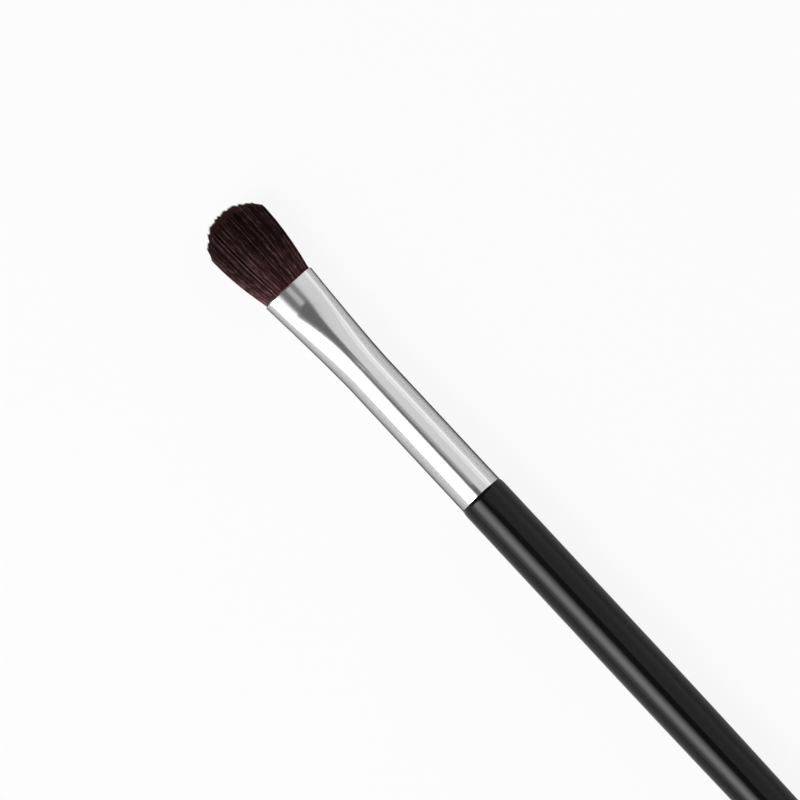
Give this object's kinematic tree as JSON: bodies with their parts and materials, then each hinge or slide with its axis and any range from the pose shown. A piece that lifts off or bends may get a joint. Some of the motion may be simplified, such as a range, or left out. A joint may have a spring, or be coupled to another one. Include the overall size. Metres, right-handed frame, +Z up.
{
  "type": "eyeshadow brush",
  "caption": "Flat eyeshadow brush: splayed hair tuft in a pressed metal ferrule on a slim lacquered wooden handle, for laying and sweeping colour on the eyelid.",
  "frame": {"origin": "on the brush's axis at the middle of the handle's parallel grip", "axes": "+X along the axis from the tail to the tuft, +Y across the flat of the tuft, +Z up, out of the flat; the brush lies flat on a table"},
  "size_m": [0.17, 0.011, 0.0074],
  "materials": {
    "bare_wood": "turned, sanded, unfinished",
    "black_lacquer": "high gloss black lacquer",
    "wood_glue": "dried glue film",
    "bright_metal": "nickel-plated brass, polished",
    "dark_hair": "fine dark brown hair, near black at the tips",
    "thread": "waxed binding thread",
    "clear_resin": "amber epoxy resin"
  },
  "bodies": {
    "handle": {"handle_core": "bare_wood", "lacquer_coat": "black_lacquer", "tenon_glue": "wood_glue", "ferrule": "bright_metal", "hair_root": "dark_hair", "binding_thread": "thread", "epoxy_plug": "clear_resin"},
    "tuft": {"hair_tuft": "dark_hair"}
  },
  "joints": [
    {"name": "tuft_sweep", "type": "hinge", "parent": "handle", "child": "tuft", "pos_m": [0.0566, 0, 0], "axis": [0, 0, 1], "range_deg": [-30, 30], "stiffness_Nm_per_rad": 0.003, "deforming": ["hair_tuft"]}
  ]
}
